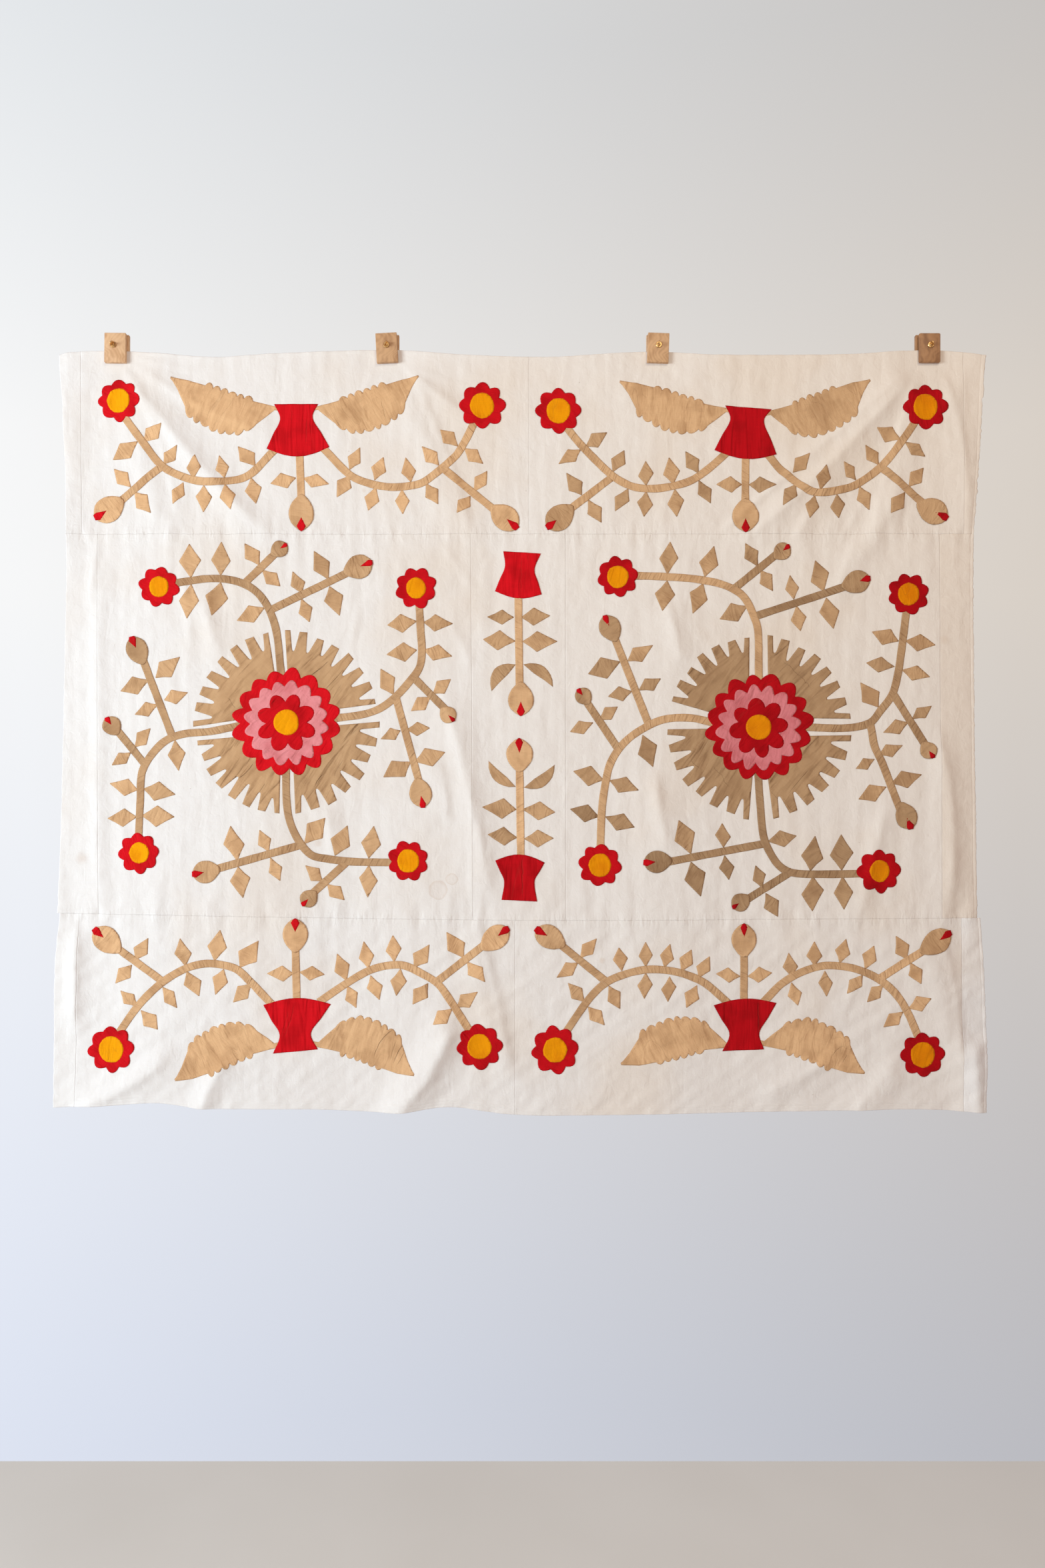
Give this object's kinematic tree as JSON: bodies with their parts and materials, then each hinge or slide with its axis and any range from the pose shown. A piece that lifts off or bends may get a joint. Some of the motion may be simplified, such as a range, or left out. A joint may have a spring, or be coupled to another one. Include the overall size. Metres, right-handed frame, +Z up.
{
  "type": "applique quilt top with clamp hangers",
  "caption": "Wide seamed cotton quilt top with applied pots, feathers, vines and rosettes, gripped along its top edge by wooden clamp hangers and hanging in soft folds.",
  "frame": {"origin": "on the wall plane, midway between the hangers, level with the middle of their blocks", "axes": "+X along the wall to the right as seen from the room, +Y into the wall, +Z up; the cloth hangs on the -Y side"},
  "size_m": [2.2322, 0.0403, 1.872],
  "materials": {
    "ground_cotton": "soft off-white plain-weave cotton, faintly creased and aged",
    "red_cotton": "plain red cotton with turned edges",
    "pink_cotton": "plain pink cotton with turned edges",
    "yellow_cotton": "plain orange-yellow cotton with turned edges",
    "tan_cotton": "faded tan cotton, finely puckered, its shade uneven",
    "hanger_wood": "light oiled hardwood with soft edges",
    "hanger_brass": "satin brass"
  },
  "bodies": {
    "root": {"ground_top_left_strip": "ground_cotton", "ground_top_left": "ground_cotton", "ground_top_right": "ground_cotton", "ground_top_right_strip": "ground_cotton", "ground_middle_left_strip": "ground_cotton", "ground_middle_left": "ground_cotton", "ground_middle_center": "ground_cotton", "ground_middle_right": "ground_cotton", "ground_middle_right_strip": "ground_cotton", "ground_bottom_left_strip": "ground_cotton", "ground_bottom_left": "ground_cotton", "ground_bottom_right": "ground_cotton", "ground_bottom_right_strip": "ground_cotton", "pot_top_left": "red_cotton", "pot_top_right": "red_cotton", "pot_middle_upper": "red_cotton", "pot_middle_lower": "red_cotton", "pot_bottom_left": "red_cotton", "pot_bottom_right": "red_cotton", "feather_top_left_outer": "tan_cotton", "feather_top_left_inner": "tan_cotton", "feather_top_right_inner": "tan_cotton", "feather_top_right_outer": "tan_cotton", "feather_bottom_left_outer": "tan_cotton", "feather_bottom_left_inner": "tan_cotton", "feather_bottom_right_inner": "tan_cotton", "feather_bottom_right_outer": "tan_cotton", "rosette_left_fringe_1": "tan_cotton", "rosette_left_fringe_2": "tan_cotton", "rosette_left_fringe_3": "tan_cotton", "rosette_left_fringe_4": "tan_cotton", "rosette_left_outer": "red_cotton", "rosette_left_pink": "pink_cotton", "rosette_left_inner": "red_cotton", "rosette_left_middle": "yellow_cotton", "rosette_right_fringe_1": "tan_cotton", "rosette_right_fringe_2": "tan_cotton", "rosette_right_fringe_3": "tan_cotton", "rosette_right_fringe_4": "tan_cotton", "rosette_right_outer": "red_cotton", "rosette_right_pink": "pink_cotton", "rosette_right_inner": "red_cotton", "rosette_right_middle": "yellow_cotton", "hanger_1_back_block": "hanger_wood", "hanger_1_front_block": "hanger_wood", "hanger_1_thumbscrew": "hanger_brass", "hanger_2_back_block": "hanger_wood", "hanger_2_front_block": "hanger_wood", "hanger_2_thumbscrew": "hanger_brass", "hanger_3_back_block": "hanger_wood", "hanger_3_front_block": "hanger_wood", "hanger_3_thumbscrew": "hanger_brass", "hanger_4_back_block": "hanger_wood", "hanger_4_front_block": "hanger_wood", "hanger_4_thumbscrew": "hanger_brass"}
  },
  "joints": []
}
